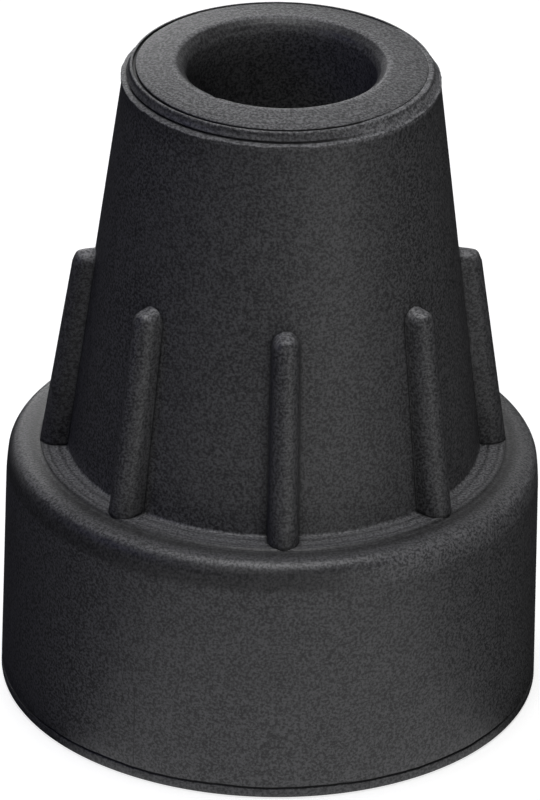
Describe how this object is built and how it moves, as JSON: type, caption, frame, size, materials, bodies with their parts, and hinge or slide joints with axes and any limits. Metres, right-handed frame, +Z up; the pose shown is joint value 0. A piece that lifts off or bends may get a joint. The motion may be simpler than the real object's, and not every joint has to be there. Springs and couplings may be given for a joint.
{
  "type": "cane tip",
  "caption": "Rubber cane tip: broad stepped foot, ribbed taper and a blind round socket with a rounded mouth.",
  "frame": {"origin": "centre of the sole, on the ground", "axes": "+Z up along the socket's axis, towards the cane; one rib lies on the -Y side"},
  "size_m": [0.052, 0.052, 0.0651],
  "materials": {
    "rubber": "matte moulded black rubber"
  },
  "bodies": {
    "root": {"rubber_tip": "rubber"}
  },
  "joints": []
}
